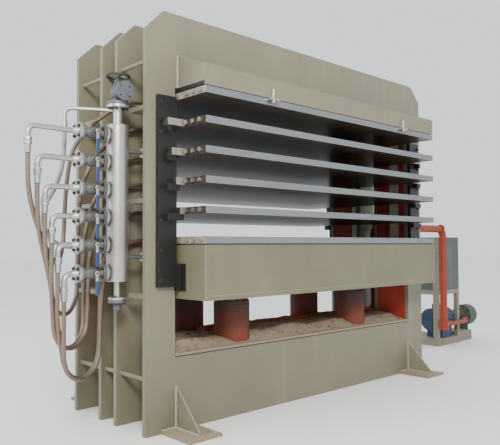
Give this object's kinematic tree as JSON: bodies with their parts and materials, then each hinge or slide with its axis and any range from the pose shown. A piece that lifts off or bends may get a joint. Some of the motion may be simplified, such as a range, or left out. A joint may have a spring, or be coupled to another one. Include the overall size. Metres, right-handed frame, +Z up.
{
  "type": "multi-daylight hydraulic hot press",
  "caption": "Up-stroke hot press with plate frame, steam-heated platens, header with valves and hoses, and separate oil power unit.",
  "frame": {"origin": "on the floor, in the middle of the four anchor holes of the frame's feet", "axes": "+X along the platens, from the steam header to the oil unit; +Y from the loading side to the back; +Z up"},
  "size_m": [6.185, 1.628, 2.76],
  "materials": {
    "frame_paint": "semi-gloss enamel, dusty",
    "red_oxide": "matt primer",
    "platen_steel": "machined, lightly oiled",
    "dark_steel": "satin",
    "board": "pressed heat board",
    "ram_steel": "ground",
    "fitting_brass": "turned",
    "header_paint": "aluminium paint",
    "valve_body": "pale paint",
    "lever_paint": "blue enamel",
    "wheel_paint": "red enamel",
    "bolt_steel": "zinc plated",
    "gasket": "compressed fibre",
    "hose_braid": "braid",
    "hose_grey": "braid",
    "oil_pipe_paint": "orange-red enamel, dusty",
    "unit_paint": "grey enamel",
    "motor_paint": "blue enamel",
    "pump_paint": "green enamel"
  },
  "bodies": {
    "frame": {"frame_plate_1": "frame_paint", "frame_plate_2": "frame_paint", "frame_plate_3": "frame_paint", "frame_plate_4": "frame_paint", "plate_ties": "frame_paint", "side_liners": "red_oxide", "platen_side_guides": "platen_steel", "bolster_plate": "dark_steel", "crown_overhangs": "frame_paint", "crown_insulation": "board", "platen_1": "platen_steel", "platen_1_fittings": "fitting_brass", "guide_rails": "dark_steel", "ladder_steps": "dark_steel", "deck_plate": "frame_paint", "cylinders": "red_oxide", "cylinder_glands": "red_oxide", "feet": "frame_paint", "crown_clamps": "bolt_steel", "steam_header": "header_paint", "header_fittings": "valve_body", "header_gaskets": "gasket", "branch_valves": "valve_body", "branch_pipes": "header_paint", "flange_bolts": "bolt_steel", "return_pipe": "header_paint", "return_hose": "hose_grey", "oil_pipe": "oil_pipe_paint", "unit_stand": "unit_paint", "oil_tank": "unit_paint", "drive_motor": "motor_paint", "oil_pump": "pump_paint", "steam_hose_1": "hose_braid", "steam_hose_2": "hose_braid", "steam_hose_3": "hose_braid", "steam_hose_4": "hose_braid", "steam_hose_5": "hose_braid", "steam_hose_6": "hose_braid"},
    "table": {"table_beam": "frame_paint", "table_insulation": "board", "table_shoes": "dark_steel", "rams": "ram_steel", "platen_6": "platen_steel", "platen_6_fittings": "fitting_brass"},
    "platen_5": {"platen_5": "platen_steel", "platen_5_fittings": "fitting_brass"},
    "platen_4": {"platen_4": "platen_steel", "platen_4_fittings": "fitting_brass"},
    "platen_3": {"platen_3": "platen_steel", "platen_3_fittings": "fitting_brass"},
    "platen_2": {"platen_2": "platen_steel", "platen_2_fittings": "fitting_brass"},
    "lever_1": {"valve_lever_1": "lever_paint"},
    "lever_2": {"valve_lever_2": "lever_paint"},
    "lever_3": {"valve_lever_3": "lever_paint"},
    "lever_4": {"valve_lever_4": "lever_paint"},
    "lever_5": {"valve_lever_5": "lever_paint"},
    "lever_6": {"valve_lever_6": "lever_paint"},
    "handwheel": {"header_handwheel": "wheel_paint"},
    "coupling": {"drive_coupling": "bolt_steel"}
  },
  "joints": [
    {"name": "table_lift", "type": "slide", "parent": "frame", "child": "table", "axis": [0, 0, 1], "range_m": [0, 0.575], "deforming": ["steam_hose_6"]},
    {"name": "platen_5_lift", "type": "slide", "parent": "frame", "child": "platen_5", "axis": [0, 0, 1], "range_m": [0, 0.46], "deforming": ["steam_hose_5"]},
    {"name": "platen_4_lift", "type": "slide", "parent": "frame", "child": "platen_4", "axis": [0, 0, 1], "range_m": [0, 0.345], "deforming": ["steam_hose_4"]},
    {"name": "platen_3_lift", "type": "slide", "parent": "frame", "child": "platen_3", "axis": [0, 0, 1], "range_m": [0, 0.23], "deforming": ["steam_hose_3"]},
    {"name": "platen_2_lift", "type": "slide", "parent": "frame", "child": "platen_2", "axis": [0, 0, 1], "range_m": [0, 0.115], "deforming": ["steam_hose_2"]},
    {"name": "valve_1_turn", "type": "hinge", "parent": "frame", "child": "lever_1", "pos_m": [-1.8895, -0.381, 1.92], "axis": [0, 1, 0], "range_deg": [0, 90]},
    {"name": "valve_2_turn", "type": "hinge", "parent": "frame", "child": "lever_2", "pos_m": [-1.8895, -0.381, 1.744], "axis": [0, 1, 0], "range_deg": [0, 90]},
    {"name": "valve_3_turn", "type": "hinge", "parent": "frame", "child": "lever_3", "pos_m": [-1.8895, -0.381, 1.568], "axis": [0, 1, 0], "range_deg": [0, 90]},
    {"name": "valve_4_turn", "type": "hinge", "parent": "frame", "child": "lever_4", "pos_m": [-1.8895, -0.381, 1.392], "axis": [0, 1, 0], "range_deg": [0, 90]},
    {"name": "valve_5_turn", "type": "hinge", "parent": "frame", "child": "lever_5", "pos_m": [-1.8895, -0.381, 1.216], "axis": [0, 1, 0], "range_deg": [0, 90]},
    {"name": "valve_6_turn", "type": "hinge", "parent": "frame", "child": "lever_6", "pos_m": [-1.8895, -0.381, 1.04], "axis": [0, 1, 0], "range_deg": [0, 90]},
    {"name": "handwheel_turn", "type": "hinge", "parent": "frame", "child": "handwheel", "pos_m": [-1.703, -0.3, 2.313], "axis": [0, 0, 1], "range_deg": [0, 1260]},
    {"name": "drive_spin", "type": "hinge", "parent": "frame", "child": "coupling", "pos_m": [3.45, 0.23, 0.3], "axis": [1, 0, 0], "continuous": true}
  ],
  "couplings": [
    {"joint": "platen_5_lift", "follows": "table_lift", "ratio": 0.8},
    {"joint": "platen_4_lift", "follows": "table_lift", "ratio": 0.6},
    {"joint": "platen_3_lift", "follows": "table_lift", "ratio": 0.4},
    {"joint": "platen_2_lift", "follows": "table_lift", "ratio": 0.2}
  ]
}
